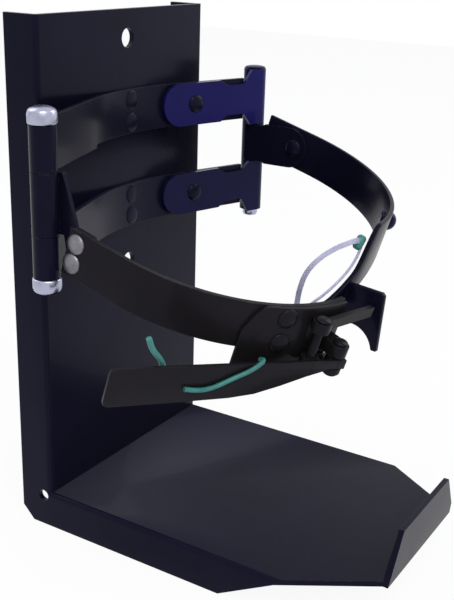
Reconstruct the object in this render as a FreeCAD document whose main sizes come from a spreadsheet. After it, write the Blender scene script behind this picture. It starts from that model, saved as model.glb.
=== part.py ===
"""Fire extinguisher bracket: a folded back plate and foot with a hinged clamp ring and latch.

The origin is the middle of the two wall bolts, on the back face of the plate.
X runs across the plate, Y points into the wall and Z is up. Lengths are millimetres.
"""
import FreeCAD, Part
import Sketcher
import os
import re

SIZES = {
    # Back plate and foot, one folded sheet
    "plate_width": 152.0,
    "plate_sheet": 3.0,
    "plate_top": 82.0,
    "foot_drop": 191.0,
    "foot_straight": 154.0,
    "foot_reach": 203.0,
    "nose_half": 44.0,
    "corner_bend": 8.0,
    "edge_bend": 2.8,
    "flange_depth": 22.0,
    "flange_taper": 34.0,
    "lip_height": 13.0,
    "lip_lean": 20.0,
    "lip_inset": 5.0,
    "relief_dia": 7.0,
    "bolt_spacing": 132.0,
    "bolt_dia": 11.0,
    # Sheet and rivets of the clamp ring
    "strap_height": 25.4,
    "strap_sheet": 2.5,
    "leaf_sheet": 2.5,
    "rivet_dia": 6.0,
    "rivet_head_dia": 11.0,
    "rivet_head_rise": 2.2,
    "rivet_play": 0.05,
    "head_taper": 0.6,
    # Rear straps
    "rear_radius": 125.0,
    "rear_turn": 18.6,
    "rear_straight": 63.8,
    "rear_cover": 13.0,
    "upper_level": 25.0,
    "lower_level": -30.0,
    "web_rivet_spacing": 13.0,
    "web_rivet_rise": 0.8,
    # Hinges
    "pin_dia": 8.0,
    "pin_play": 0.05,
    "knuckle_wall": 3.0,
    "knuckle_gap": 0.3,
    "leaf_length": 63.5,
    "leaf_neck": 18.6,
    "leaf_shoulder": 33.0,
    "leaf_rivet_at": 53.0,
    "mid_knuckle_top": 8.0,
    "mid_knuckle_bottom": -15.3,
    "right_stack_top": 42.8,
    "right_stack_bottom": -48.8,
    "right_pin_tail": 4.8,
    "right_head_dia": 13.0,
    "right_head_rise": 3.0,
    "barrel_top": 10.0,
    "barrel_bottom": -22.0,
    "left_stack_top": 33.3,
    "left_stack_bottom": -44.3,
    "cap_dia": 17.0,
    "cap_height": 9.0,
    # Front halves of the ring
    "front_inner_radius": 85.0,
    "front_straight": 45.0,
    "front_rivet_at": 34.0,
    "front_leaf_end": 43.0,
    "front_start": 11.0,
    "band_droop": 16.5,
    "strap_droop": 16.7,
    "strap_drop": 19.0,
    "left_rivet_spacing": 11.0,
    "left_rivet_at": 16.0,
    "left_leaf_end": 27.0,
    "band_sweep": 76.0,
    "strap_sweep": 83.0,
    # Catch and band bolt
    "tail_turn": 81.0,
    "tail_slope": 30.0,
    "tail_back": 8.0,
    "tail_sweep": 46.0,
    "tail_height": 9.0,
    "catch_turn": 99.5,
    "catch_root": 84.5,
    "catch_reach": 23.5,
    "catch_level": -12.0,
    "catch_height": 36.0,
    "catch_sheet": 3.0,
    "catch_hollow": 14.0,
    "hollow_inset": 7.5,
    "hollow_drop": 3.0,
    "band_bolt_turn": 60.0,
    "band_bolt_dia": 8.0,
    "band_bolt_play": 0.25,
    "band_bolt_head_dia": 17.0,
    "band_bolt_head_rise": 5.0,
    "band_bolt_length": 14.0,
    "washer_dia": 18.0,
    "washer_sheet": 1.6,
    "nut_flats": 13.0,
    "nut_height": 6.5,
    # Latch
    "base_turn": 23.0,
    "base_spread": 30.0,
    "base_rivet_turn": 33.0,
    "base_sheet": 2.5,
    "base_drop": 26.0,
    "base_rivet_spacing": 14.0,
    "pivot_offset": 10.0,
    "pivot_dia": 5.0,
    "pivot_wall": 2.5,
    "pivot_stand": 9.0,
    "pivot_head_dia": 8.0,
    "pivot_head_rise": 1.8,
    "ear_height": 7.0,
    "lever_length": 120.0,
    "lever_height": 19.0,
    "lever_sheet": 2.0,
    "lever_turn": -17.0,
    "link_pivot_at": 16.0,
    "link_turn": 108.2,
    "link_length": 41.5,
    "link_height": 5.7,
    "link_sheet": 3.0,
    "link_level": 3.0,
    # Safety tie
    "tie_width": 2.2,
    "tie_sheet": 1.2,
    "tie_start": 84.0,
    "tie_bend": 70.0,
    "tie_end": 42.0,
    "tie_rise": 3.5,
    "bead_dia": 5.0,
    "bead_length": 6.0,
    "bead_turn": 9.0,
}

FREE_WORDS = re.compile(r"\b([a-z]+(?:_[a-z]+)+)\b")
PLANES = {"top": "XY_Plane", "front": "XZ_Plane", "side": "YZ_Plane"}

doc = FreeCAD.newDocument("Bracket")
sheet = doc.addObject("Spreadsheet::Sheet", "Sizes")
for row, (name, value) in enumerate(SIZES.items(), start=1):
    sheet.set("A%d" % row, name.replace("_", " "))
    sheet.set("B%d" % row, str(value))
    sheet.setAlias("B%d" % row, name)
doc.recompute()

worked = doc.addObject("App::VarSet", "Worked")
WORKED_NAMES = []


def linked(text):
    """Turn the plain size names of an expression into names of the spreadsheet or of Worked."""
    def owner(match):
        name = match.group(1)
        return ("Worked." if name in WORKED_NAMES else "Sizes.") + name
    return FREE_WORDS.sub(owner, text)


def value_of(text):
    result = sheet.evalExpression(linked(text))
    return float(getattr(result, "Value", result))


def work_out(name, text):
    """Keep a size that follows from others as a named value of its own."""
    worked.addProperty("App::PropertyFloat", name)
    worked.setExpression(name, linked(text))
    doc.recompute()
    WORKED_NAMES.append(name)


def bind(thing, **sizes):
    for name, text in sizes.items():
        thing.setExpression(name, linked(text))


def place(x="0", y="0", z="0", axis="0;0;1", angle="0"):
    return "placement(vector(%s;%s;%s); rotation(vector(%s); %s))" % (x, y, z, axis, angle)


PIECES = []


class Piece:
    """One solid of the bracket, a body whose features are bound to the named sizes."""

    def __init__(self, node):
        self.body = doc.addObject("PartDesign::Body", node)
        self.body.Label = node
        self.count = 0
        PIECES.append(self.body)

    def feature(self, kind, **sizes):
        self.count += 1
        thing = self.body.newObject("PartDesign::" + kind, "%s_%d" % (self.body.Name, self.count))
        bind(thing, **sizes)
        return thing

    def settle(self, thing):
        doc.recompute()
        if "Invalid" in thing.State or "Error" in thing.State or thing.Shape.isNull():
            raise RuntimeError("%s of %s failed" % (thing.Name, self.body.Label))
        return thing

    def cylinder(self, radius, height, at, angle="360", add=True):
        kind = "AdditiveCylinder" if add else "SubtractiveCylinder"
        return self.settle(self.feature(kind, Radius=radius, Height=height, Angle=angle, Placement=at))

    def cone(self, low, top, height, at):
        return self.settle(self.feature("AdditiveCone", Radius1=low, Radius2=top, Height=height, Placement=at))

    def box(self, length, width, height, at, add=True):
        kind = "AdditiveBox" if add else "SubtractiveBox"
        return self.settle(self.feature(kind, Length=length, Width=width, Height=height, Placement=at))

    def head(self, radius, rise, at):
        """A low formed head that narrows away from the face it sits on."""
        return self.cone(radius, "(%s) * head_taper" % radius, rise, at)

    def outline(self, plane, points):
        """A closed outline; every corner is held at a named place by two driven distances."""
        sketch = self.body.newObject("Sketcher::SketchObject", self.body.Name + "_sketch")
        role = PLANES[plane]
        origin_plane = [one for one in self.body.Origin.OriginFeatures if one.Role == role][0]
        sketch.AttachmentSupport = [(origin_plane, "")]
        sketch.MapMode = "FlatFace"
        corners = [FreeCAD.Vector(value_of(x), value_of(y), 0) for x, y in points]
        for here, after in zip(corners, corners[1:] + corners[:1]):
            sketch.addGeometry(Part.LineSegment(here, after), False)
        for index in range(len(points)):
            follows = (index + 1) % len(points)
            sketch.addConstraint(Sketcher.Constraint("Coincident", index, 2, follows, 1))
        for index, (x, y) in enumerate(points):
            for kind, text in (("DistanceX", x), ("DistanceY", y)):
                number = sketch.addConstraint(
                    Sketcher.Constraint(kind, -1, 1, index, 1, value_of(text)))
                sketch.setExpression("Constraints[%d]" % number, linked(text))
        doc.recompute()
        return sketch

    def pad(self, sketch, length, both_ways=False, turned=False):
        thing = self.feature("Pad", Length=length)
        thing.Profile = sketch
        thing.Midplane = both_ways
        thing.Reversed = turned
        return self.settle(thing)

    def pocket(self, sketch, length, both_ways=True, turned=False):
        before = self.body.Shape.Volume
        thing = self.feature("Pocket", Length=length)
        thing.Profile = sketch
        thing.Midplane = both_ways
        thing.Reversed = turned
        self.settle(thing)
        if thing.Shape.Volume > before - 0.01:
            raise RuntimeError("a pocket of %s cuts nothing" % self.body.Label)
        return thing

    def round_edges(self, chosen, radius):
        """Fillet the edges that the test picks on the last feature."""
        last = self.body.Tip
        names = ["Edge%d" % (i + 1) for i, edge in enumerate(last.Shape.Edges) if chosen(edge)]
        thing = self.feature("Fillet", Radius=radius)
        thing.Base = (last, names)
        return self.settle(thing)

    def put(self, text):
        bind(self.body, Placement=text)
        doc.recompute()
        return self


def near(value, target, slack=0.01):
    return abs(value - target) < slack


# Sizes that follow from the driving ones
work_out("half_width", "plate_width / 2")
work_out("knuckle_radius", "pin_dia / 2 + knuckle_wall")
work_out("bore_radius", "pin_dia / 2 + pin_play")
work_out("leaf_face", "knuckle_radius - leaf_sheet")
work_out("leaf_radius", "rear_radius - strap_sheet")
work_out("rear_centre", "-plate_sheet - rear_radius")
work_out("pin_x", "leaf_radius * sin(rear_turn) + rear_straight * cos(rear_turn) + leaf_face * sin(rear_turn)")
work_out("pin_y", "rear_centre + leaf_radius * cos(rear_turn) - rear_straight * sin(rear_turn)"
                  " + leaf_face * cos(rear_turn)")
work_out("mid_level", "(mid_knuckle_top + mid_knuckle_bottom) / 2")
work_out("front_outer_radius", "front_inner_radius + strap_sheet")
work_out("front_centre", "leaf_face + front_inner_radius")
work_out("left_mid", "(barrel_top + barrel_bottom) / 2")
work_out("strap_level", "left_mid - strap_drop - left_rivet_at * tan(strap_droop)")
work_out("rivet_hole", "rivet_dia / 2 + rivet_play")
work_out("washer_seat", "sqrt(front_inner_radius^2 - washer_dia^2 / 4) - washer_sheet")
work_out("base_rivet_seat", "sqrt(front_inner_radius^2 - rivet_head_dia^2 / 4)")
work_out("web_rivet_seat", "leaf_radius - sqrt(leaf_radius^2 - rivet_head_dia^2 / 4)")
work_out("pivot_hole", "pivot_dia / 2 + pin_play")
work_out("pivot_barrel", "pivot_dia / 2 + pivot_wall")
work_out("pivot_reach", "front_outer_radius + base_sheet + pivot_stand")
work_out("base_low", "-strap_height / 2 - base_drop")
work_out("lever_low", "base_low + ear_height + knuckle_gap")
work_out("lever_top", "lever_low + lever_height")
work_out("ear_low", "lever_top + knuckle_gap")
work_out("ear_top", "ear_low + ear_height")

RIGHT_PIN = place(x="pin_x", y="pin_y")
LEFT_PIN = place(x="-pin_x", y="pin_y")
RIGHT_FRONT = place("pin_x", "pin_y - front_rivet_at", "mid_level", "1;0;0", "band_droop")
LEFT_FRONT = place("-pin_x", "pin_y - left_rivet_at", "strap_level", "1;0;0", "strap_droop")
RIGHT_RING = RIGHT_FRONT + " * " + place(x="-front_centre", y="front_rivet_at - front_straight")
LEFT_RING = LEFT_FRONT + " * " + place(x="front_centre", y="left_rivet_at - front_straight")
PIVOT = LEFT_RING + " * " + place(angle="270 - base_turn + pivot_offset") + " * " + place(x="pivot_reach")
LEVER = PIVOT + " * " + place(angle="lever_turn")
LINK = LEVER + " * " + place(y="-link_pivot_at") + " * " + place(angle="link_turn")


def back_plate():
    """The L-shaped sheet, its side flanges turned back and down, and the flared front lip."""
    piece = Piece("back_plate")
    inner = [("-plate_sheet", "plate_top"), ("-plate_sheet", "-foot_drop"),
             ("-foot_reach", "-foot_drop"), ("-foot_reach", "-foot_drop - plate_sheet"),
             ("0", "-foot_drop - plate_sheet"), ("0", "plate_top")]
    piece.pad(piece.outline("side", inner), "plate_width", both_ways=True)
    flange = [("-plate_sheet", "plate_top"), ("-plate_sheet", "-foot_drop"),
              ("-foot_straight", "-foot_drop"), ("-foot_straight", "-foot_drop - plate_sheet"),
              ("-foot_straight + flange_taper", "-foot_drop - flange_depth"),
              ("flange_depth - plate_sheet - corner_bend", "-foot_drop - flange_depth"),
              ("flange_depth - plate_sheet", "-foot_drop - flange_depth + corner_bend"),
              ("flange_depth - plate_sheet", "plate_top")]
    for side in (1, -1):
        sketch = piece.outline("side", flange)
        wall = "%d * (half_width - plate_sheet / 2)" % side
        sketch.setExpression("AttachmentOffset", linked(place(z=wall)))
        piece.pad(sketch, "plate_sheet", both_ways=True)
    for side in (1, -1):
        corner = [("%d * (half_width + 1)" % side, "-foot_straight"),
                  ("%d * (half_width + 1)" % side, "-foot_reach - 1"),
                  ("%d * nose_half" % side, "-foot_reach - 1"),
                  ("%d * nose_half" % side, "-foot_reach"),
                  ("%d * half_width" % side, "-foot_straight")]
        sketch = piece.outline("top", corner)
        bind(sketch, AttachmentOffset=place(z="-foot_drop"))
        piece.pocket(sketch, "4 * plate_sheet")
    lip_top = "lip_height * cos(lip_lean)"
    lip_out = "lip_height * sin(lip_lean)"
    lip = [("-foot_reach", "-foot_drop"), ("-foot_reach", "-foot_drop - plate_sheet"),
           ("-foot_reach - plate_sheet", "-foot_drop - plate_sheet"),
           ("-foot_reach - plate_sheet - %s" % lip_out, "-foot_drop + %s" % lip_top),
           ("-foot_reach - %s" % lip_out, "-foot_drop + %s" % lip_top)]
    piece.pad(piece.outline("side", lip), "2 * nose_half", both_ways=True)
    for side in (1, -1):
        tip = [("%d * (nose_half + 1)" % side, "-foot_drop + %s + 1" % lip_top),
               ("%d * (nose_half - lip_inset)" % side, "-foot_drop + %s + 1" % lip_top),
               ("%d * (nose_half - lip_inset)" % side, "-foot_drop + %s" % lip_top),
               ("%d * (nose_half + 1)" % side, "-foot_drop")]
        sketch = piece.outline("front", tip)
        bind(sketch, AttachmentOffset=place(z="foot_reach"))
        piece.pocket(sketch, "8 * lip_height")
    for side in (1, -1):
        level = "%d * bolt_spacing / 2" % side
        piece.cylinder("bolt_dia / 2", "4 * plate_sheet",
                       place(y="2 * plate_sheet", z=level, axis="1;0;0", angle="90"), add=False)
        for level in ("upper_level", "lower_level"):
            height = "%s + %d * web_rivet_spacing / 2" % (level, side)
            piece.cylinder("rivet_hole", "4 * plate_sheet",
                           place(y="2 * plate_sheet", z=height, axis="1;0;0", angle="90"), add=False)
        piece.cylinder("relief_dia / 2", "3 * plate_sheet",
                       place(x="%d * half_width - 1.5 * plate_sheet" % side, y="edge_bend",
                             z="-foot_drop - edge_bend", axis="0;1;0", angle="90"), add=False)
    half = value_of("half_width")
    face = value_of("-plate_sheet")
    floor = value_of("-foot_drop")

    def folded(edge):
        box = edge.BoundBox
        on_side = near(abs(box.XMin), half) and near(box.XLength, 0)
        on_web = near(box.YMin, face) and near(box.YMax, face) and box.ZLength > half
        on_foot = near(box.ZMin, floor) and near(box.ZMax, floor) and box.YLength > half
        return on_side and (on_web or on_foot)
    piece.round_edges(folded, "edge_bend")
    return piece


def leaf_knuckle(piece, low, top):
    """Roll a knuckle round the pin axis, from one height to another."""
    length = "(%s) - (%s)" % (top, low)
    piece.cylinder("knuckle_radius", length, place(z=low))
    piece.cylinder("bore_radius", length + " + 2", place(z="(%s) - 1" % low), add=False)


def rear_strap(node, level, knuckle_low, knuckle_top):
    """An arc that touches the plate in its middle, straight towards both hinges."""
    piece = Piece(node)
    low = "-strap_height / 2"
    reach = "rear_straight - rear_cover"
    piece.cylinder("rear_radius", "strap_height",
                   place(y="rear_centre", z=low, angle="90 - rear_turn"), angle="2 * rear_turn")
    piece.cylinder("rear_radius - strap_sheet", "strap_height + 2",
                   place(y="rear_centre", z=low + " - 1"), add=False)
    bend = place(y="rear_centre", angle="-rear_turn")
    piece.box(reach, "strap_sheet", "strap_height", bend + " * " + place(y="leaf_radius", z=low))
    left_bend = place(y="rear_centre", angle="rear_turn")
    knuckle = left_bend + " * " + place(x="-rear_straight", y="leaf_radius + leaf_face")
    end = "rear_straight - 1.3 * knuckle_radius"
    piece.box(end, "strap_sheet", "strap_height",
              left_bend + " * " + place(x="-(%s)" % end, y="leaf_radius", z=low))
    span = "(%s) - (%s)" % (knuckle_top, knuckle_low)
    start = "(%s) - (%s)" % (knuckle_low, level)
    piece.box("rear_straight - 1", "strap_sheet", span,
              left_bend + " * " + place(x="-rear_straight", y="leaf_radius", z=start))
    piece.cylinder("knuckle_radius", span, knuckle + " * " + place(z=start))
    piece.cylinder("bore_radius", span + " + 2", knuckle + " * " + place(z=start + " - 1"), add=False)
    for side in (1, -1):
        hole = place(y="1", z="%d * web_rivet_spacing / 2" % side, axis="1;0;0", angle="90")
        piece.cylinder("rivet_hole", "2 * plate_sheet + strap_sheet + 2", hole, add=False)
    hole = bend + " * " + place(x="rear_straight - leaf_rivet_at", y="rear_radius + 1",
                                axis="1;0;0", angle="90")
    piece.cylinder("rivet_hole", "strap_sheet + 2", hole, add=False)
    return piece.put(place(z=level))


def rivet(node, length, at, rise="rivet_head_rise", tail=None):
    """A shank through the sheets with a low domed head on both faces."""
    piece = Piece(node)
    piece.cylinder("rivet_dia / 2", length, place())
    piece.head("rivet_head_dia / 2", rise, place(z=length))
    piece.head("rivet_head_dia / 2", tail or rise, place(axis="1;0;0", angle="180"))
    return piece.put(at)


def leaf_pad(piece, points, inward):
    """The flat of a hinge plate, tangent to its knuckle on the side that the ring's inside takes."""
    sketch = piece.outline("front", points)
    away = "-leaf_face - leaf_sheet" if inward > 0 else "leaf_face"
    bind(sketch, AttachmentOffset=place(z=away))
    return piece.pad(sketch, "leaf_sheet")


def leaf_hole(piece, at_x, at_z="0"):
    where = place(x=at_x, y="2 * knuckle_radius", z=at_z, axis="1;0;0", angle="90")
    piece.cylinder("rivet_hole", "4 * knuckle_radius", where, add=False)


def leaf_end(piece, length, inward):
    """The rounded free end of a hinge plate."""
    start = "leaf_face" if inward > 0 else "-leaf_face - leaf_sheet"
    where = place(x="%s - strap_height / 2" % length, y="%s + leaf_sheet" % start, axis="1;0;0", angle="90")
    piece.cylinder("strap_height / 2", "leaf_sheet", where)


def rear_leaf(node, level, low, top):
    """A T-shaped hinge plate riveted inside a rear strap, with a tall knuckle and a waist."""
    piece = Piece(node)
    foot = "(%s) - %s" % (low, level)
    head = "(%s) - %s" % (top, level)
    points = [("0", foot), ("knuckle_radius + 1", foot), ("knuckle_radius + 7", "-leaf_neck / 2"),
              ("leaf_shoulder - 5", "-leaf_neck / 2"), ("leaf_shoulder", "-strap_height / 2"),
              ("leaf_length - strap_height / 2", "-strap_height / 2"),
              ("leaf_length - strap_height / 2", "strap_height / 2"),
              ("leaf_shoulder", "strap_height / 2"), ("leaf_shoulder - 5", "leaf_neck / 2"),
              ("knuckle_radius + 7", "leaf_neck / 2"), ("knuckle_radius + 1", head), ("0", head)]
    leaf_pad(piece, points, 1)
    waist = [value_of("knuckle_radius + 7"), value_of("leaf_shoulder - 5")]

    def at_waist(edge):
        box = edge.BoundBox
        upright = near(box.XLength, 0) and near(box.ZLength, 0)
        return upright and (near(box.XMin, waist[0]) or near(box.XMin, waist[1]))
    piece.round_edges(at_waist, "(knuckle_radius - 3)")
    leaf_end(piece, "leaf_length", 1)
    leaf_knuckle(piece, foot, head)
    leaf_hole(piece, "leaf_rivet_at")
    return piece.put(place("pin_x", "pin_y", level, angle="180 - rear_turn"))


def band_leaf():
    """The right band's hinge plate, with the middle knuckle of the right hinge."""
    piece = Piece("band_hinge_plate")
    low = "mid_knuckle_bottom - mid_level"
    top = "mid_knuckle_top - mid_level"
    points = [("0", low), ("front_start", low), ("front_start + 2", "-strap_height / 2"),
              ("front_leaf_end - strap_height / 2", "-strap_height / 2"),
              ("front_leaf_end - strap_height / 2", "strap_height / 2"),
              ("front_start + 2", "strap_height / 2"), ("front_start", top), ("0", top)]
    leaf_pad(piece, points, -1)
    leaf_end(piece, "front_leaf_end", -1)
    leaf_knuckle(piece, low, top)
    leaf_hole(piece, "front_rivet_at")
    return piece.put(place("pin_x", "pin_y", "mid_level", angle="-90"))


def strap_leaf():
    """The left strap's hinge plate: a tall barrel, and below it the flat with two rivets."""
    piece = Piece("strap_hinge_plate")

    def along(x, up):
        return (x, "-strap_drop - (%s) * tan(strap_droop) + %s" % (x, up))
    low = "barrel_bottom - left_mid"
    top = "barrel_top - left_mid"
    points = [("0", low), ("knuckle_radius + 1", low), along("front_start", "-strap_height / 2"),
              along("left_leaf_end", "-strap_height / 2"), along("left_leaf_end", "strap_height / 2"),
              along("front_start + 5", "strap_height / 2"), ("knuckle_radius + 1", top), ("0", top)]
    leaf_pad(piece, points, 1)
    leaf_knuckle(piece, low, top)
    for side in (1, -1):
        turn = "%d * left_rivet_spacing / 2" % side
        leaf_hole(piece, "left_rivet_at + %s * sin(strap_droop)" % turn,
                  "strap_level - left_mid + %s * cos(strap_droop)" % turn)
    return piece.put(place("-pin_x", "pin_y", "left_mid", angle="-90"))


def front_half(node, side, rivet_at, sweep):
    """A straight stretch from the hinge and an arc round the cylinder, level in its own frame."""
    piece = Piece(node)
    low = "-strap_height / 2"
    ring = place(x="%d * front_centre" % -side, y="%s - front_straight" % rivet_at, z=low)
    turn = "-(%s)" % sweep if side > 0 else "180"
    piece.cylinder("front_outer_radius", "strap_height", ring + " * " + place(angle=turn), angle=sweep)
    piece.cylinder("front_inner_radius", "strap_height + 2", ring + " * " + place(z="-1"), add=False)
    edge = "-leaf_face" if side > 0 else "leaf_face - strap_sheet"
    corner = place(x=edge, y="%s - front_straight" % rivet_at, z=low)
    piece.box("strap_sheet", "front_straight - front_start", "strap_height", corner)
    return piece


def right_band():
    """The right half: past its bolt it narrows to a sloping tail with a tab turned out as the catch."""
    piece = front_half("right_band", 1, "front_rivet_at", "band_sweep")
    ring = place(x="-front_centre", y="front_rivet_at - front_straight")
    tail = ring + " * " + place(angle="-tail_turn") + " * " + place(axis="1;0;0", angle="tail_slope")
    piece.cylinder("front_outer_radius", "tail_height",
                   tail + " * " + place(z="-tail_height / 2", angle="-tail_sweep + tail_back"),
                   angle="tail_sweep")
    piece.cylinder("front_inner_radius", "tail_height + 2",
                   tail + " * " + place(z="-tail_height / 2 - 1", angle="-tail_sweep + tail_back - 1"),
                   angle="tail_sweep + 2", add=False)
    piece.box("catch_reach", "catch_sheet", "catch_height",
              ring + " * " + place(angle="-catch_turn") + " * " +
              place(x="catch_root", z="catch_level - catch_height"))
    hollow = ring + " * " + place(angle="-catch_turn") + " * "
    hollow = hollow + place("catch_root + hollow_inset", "catch_sheet + 1",
                            "catch_level - catch_height - hollow_drop", "1;0;0", "90")
    piece.cylinder("catch_hollow", "catch_sheet + 2", hollow, add=False)
    bolt = ring + " * " + place(angle="-band_bolt_turn") + " * "
    bolt = bolt + place(x="front_inner_radius - 1", axis="0;1;0", angle="90")
    piece.cylinder("band_bolt_dia / 2 + band_bolt_play", "strap_sheet + 2", bolt, add=False)
    hole = place(x="-2 * knuckle_radius", axis="0;1;0", angle="90")
    piece.cylinder("rivet_hole", "4 * knuckle_radius", hole, add=False)
    return piece.put(RIGHT_FRONT)


def left_strap():
    piece = front_half("left_strap", -1, "left_rivet_at", "strap_sweep")
    ring = place(x="front_centre", y="left_rivet_at - front_straight")
    for side in (1, -1):
        level = "%d * left_rivet_spacing / 2" % side
        hole = place(x="-2 * knuckle_radius", z=level, axis="0;1;0", angle="90")
        piece.cylinder("rivet_hole", "4 * knuckle_radius", hole, add=False)
        where = place(angle="270 - base_rivet_turn") + " * "
        where = where + place(x="front_inner_radius - 1", z="%d * base_rivet_spacing / 2" % side,
                              axis="0;1;0", angle="90")
        piece.cylinder("rivet_hole", "strap_sheet + 2", ring + " * " + where, add=False)
    return piece.put(LEFT_FRONT)


def hinge_pins():
    length = "right_stack_top - right_stack_bottom"
    piece = Piece("right_hinge_pin")
    piece.cylinder("pin_dia / 2", length + " + right_pin_tail + knuckle_gap", place(z="-right_pin_tail"))
    piece.head("right_head_dia / 2", "right_head_rise", place(z="%s + knuckle_gap" % length))
    piece.put(RIGHT_PIN + " * " + place(z="right_stack_bottom"))
    length = "left_stack_top - left_stack_bottom"
    piece = Piece("left_hinge_pin")
    piece.cylinder("pin_dia / 2", length + " + cap_height", place(z="-cap_height / 2"))
    piece.put(LEFT_PIN + " * " + place(z="left_stack_bottom"))
    for node, level, turn in (("upper_pin_cap", "left_stack_top + knuckle_gap", "0"),
                              ("lower_pin_cap", "left_stack_bottom - knuckle_gap", "180")):
        piece = Piece(node)
        piece.cylinder("cap_dia / 2", "cap_height * 0.6", place())
        piece.head("cap_dia / 2", "cap_height * 0.4", place(z="cap_height * 0.6"))
        piece.cylinder("pin_dia / 2 + pin_play", "cap_height / 2 + 0.3", place(z="-0.3"), add=False)
        piece.put(LEFT_PIN + " * " + place(z=level, axis="1;0;0", angle=turn))


def ring_rivets():
    for node, level in (("upper", "upper_level"), ("lower", "lower_level")):
        for name, side in (("top", 1), ("bottom", -1)):
            height = "%s + %d * web_rivet_spacing / 2" % (level, side)
            rivet("%s_web_rivet_%s" % (node, name), "plate_sheet + strap_sheet + web_rivet_seat",
                  place(z=height, axis="1;0;0", angle="90"), rise="web_rivet_rise",
                  tail="rivet_head_rise")
        inside = place(x="leaf_rivet_at", y="leaf_face + leaf_sheet", axis="1;0;0", angle="90")
        rivet("%s_plate_rivet" % node, "leaf_sheet + strap_sheet",
              place("pin_x", "pin_y", level, angle="180 - rear_turn") + " * " + inside)
    rivet("band_rivet", "leaf_sheet + strap_sheet",
          place("pin_x - knuckle_radius", "pin_y - front_rivet_at", "mid_level", "0;1;0", "90"))
    for name, side in (("top", 1), ("bottom", -1)):
        turn = place(x="leaf_face - strap_sheet", z="%d * left_rivet_spacing / 2" % side,
                     axis="0;1;0", angle="90")
        rivet("strap_rivet_%s" % name, "leaf_sheet + strap_sheet", LEFT_FRONT + " * " + turn)


def band_bolt():
    """A round-headed bolt through the band, with a washer under its nut on the inside."""
    seat = RIGHT_RING + " * " + place(angle="-band_bolt_turn") + " * "
    outside = seat + place(x="front_outer_radius", axis="0;1;0", angle="-90")
    piece = Piece("band_bolt")
    piece.cylinder("band_bolt_dia / 2", "band_bolt_length", place())
    piece.head("band_bolt_head_dia / 2", "band_bolt_head_rise", place(axis="1;0;0", angle="180"))
    piece.put(outside)
    piece = Piece("band_washer")
    piece.cylinder("washer_dia / 2", "washer_sheet", place())
    piece.cylinder("band_bolt_dia / 2 + band_bolt_play", "washer_sheet + 2", place(z="-1"), add=False)
    piece.put(seat + place(x="washer_seat", axis="0;1;0", angle="90"))
    piece = Piece("band_nut")
    nut = piece.feature("AdditivePrism", Circumradius="nut_flats / sqrt(3)", Height="nut_height")
    nut.Polygon = 6
    piece.settle(nut)
    piece.cylinder("band_bolt_dia / 2 + pin_play", "nut_height + 2", place(z="-1"), add=False)
    piece.put(seat + place(x="washer_seat - nut_height", axis="0;1;0", angle="90"))


def latch_base():
    """The latch's base, curved to the strap and riveted on it, with two ears for the pivot."""
    piece = Piece("latch_base")
    high = "strap_height / 2 - base_low"
    piece.cylinder("front_outer_radius + base_sheet", high,
                   place(z="base_low", angle="270 - base_turn - base_spread / 2"), angle="base_spread")
    piece.cylinder("front_outer_radius", high + " + 2", place(z="base_low - 1"), add=False)
    pivot = place(angle="270 - base_turn + pivot_offset") + " * "
    for low in ("base_low", "ear_low"):
        piece.box("pivot_stand + base_sheet / 2", "2 * pivot_barrel", "ear_height",
                  pivot + place(x="front_outer_radius + base_sheet / 2", y="-pivot_barrel", z=low))
        piece.cylinder("pivot_barrel", "ear_height", pivot + place(x="pivot_reach", z=low))
    piece.cylinder("pivot_hole", high + " + 2", pivot + place(x="pivot_reach", z="base_low - 1"), add=False)
    for side in (1, -1):
        where = place(angle="270 - base_rivet_turn") + " * "
        where = where + place(x="front_outer_radius - 1", z="%d * base_rivet_spacing / 2" % side,
                              axis="0;1;0", angle="90")
        piece.cylinder("rivet_hole", "base_sheet + 2", where, add=False)
    piece.put(LEFT_RING)
    for name, side in (("top", 1), ("bottom", -1)):
        where = place(angle="270 - base_rivet_turn") + " * "
        where = where + place(x="base_rivet_seat", z="%d * base_rivet_spacing / 2" % side,
                              axis="0;1;0", angle="90")
        rivet("base_rivet_%s" % name, "front_outer_radius + base_sheet - base_rivet_seat",
              LEFT_RING + " * " + where)


def headed_pin(node, low, top, at):
    piece = Piece(node)
    length = "(%s) - (%s)" % (top, low)
    piece.cylinder("pivot_dia / 2", length, place())
    piece.head("pivot_head_dia / 2", "pivot_head_rise", place(z=length))
    piece.head("pivot_head_dia / 2", "pivot_head_rise", place(axis="1;0;0", angle="180"))
    piece.put(at + " * " + place(z=low))


def latch_lever():
    """The long over-centre lever, with a barrel on the pivot and a boss for the link's pin."""
    piece = Piece("latch_lever")
    piece.box("lever_sheet", "lever_length - lever_height / 2", "lever_height",
              place(x="pivot_barrel - lever_sheet", y="-lever_length + lever_height / 2", z="lever_low"))
    piece.cylinder("lever_height / 2", "lever_sheet",
                   place("pivot_barrel - lever_sheet", "-lever_length + lever_height / 2",
                         "lever_low + lever_height / 2", "0;1;0", "90"))
    for y in ("0", "-link_pivot_at"):
        piece.cylinder("pivot_barrel", "lever_height", place(y=y, z="lever_low"))
    for y, bore in (("0", "pivot_hole"), ("-link_pivot_at", "pivot_hole")):
        piece.cylinder(bore, "lever_height + 2", place(y=y, z="lever_low - 1"), add=False)
    piece.put(LEVER)


def latch_link():
    """The link, an eye on its pin and a flat bar that stops just short of the catch."""
    piece = Piece("latch_link")
    piece.cylinder("pivot_barrel", "link_height", place(z="link_level"))
    piece.box("link_length", "link_sheet", "link_height", place(y="-link_sheet / 2", z="link_level"))
    piece.cylinder("pivot_hole", "link_height + 2", place(z="link_level - 1"), add=False)
    piece.put(LINK)


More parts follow.
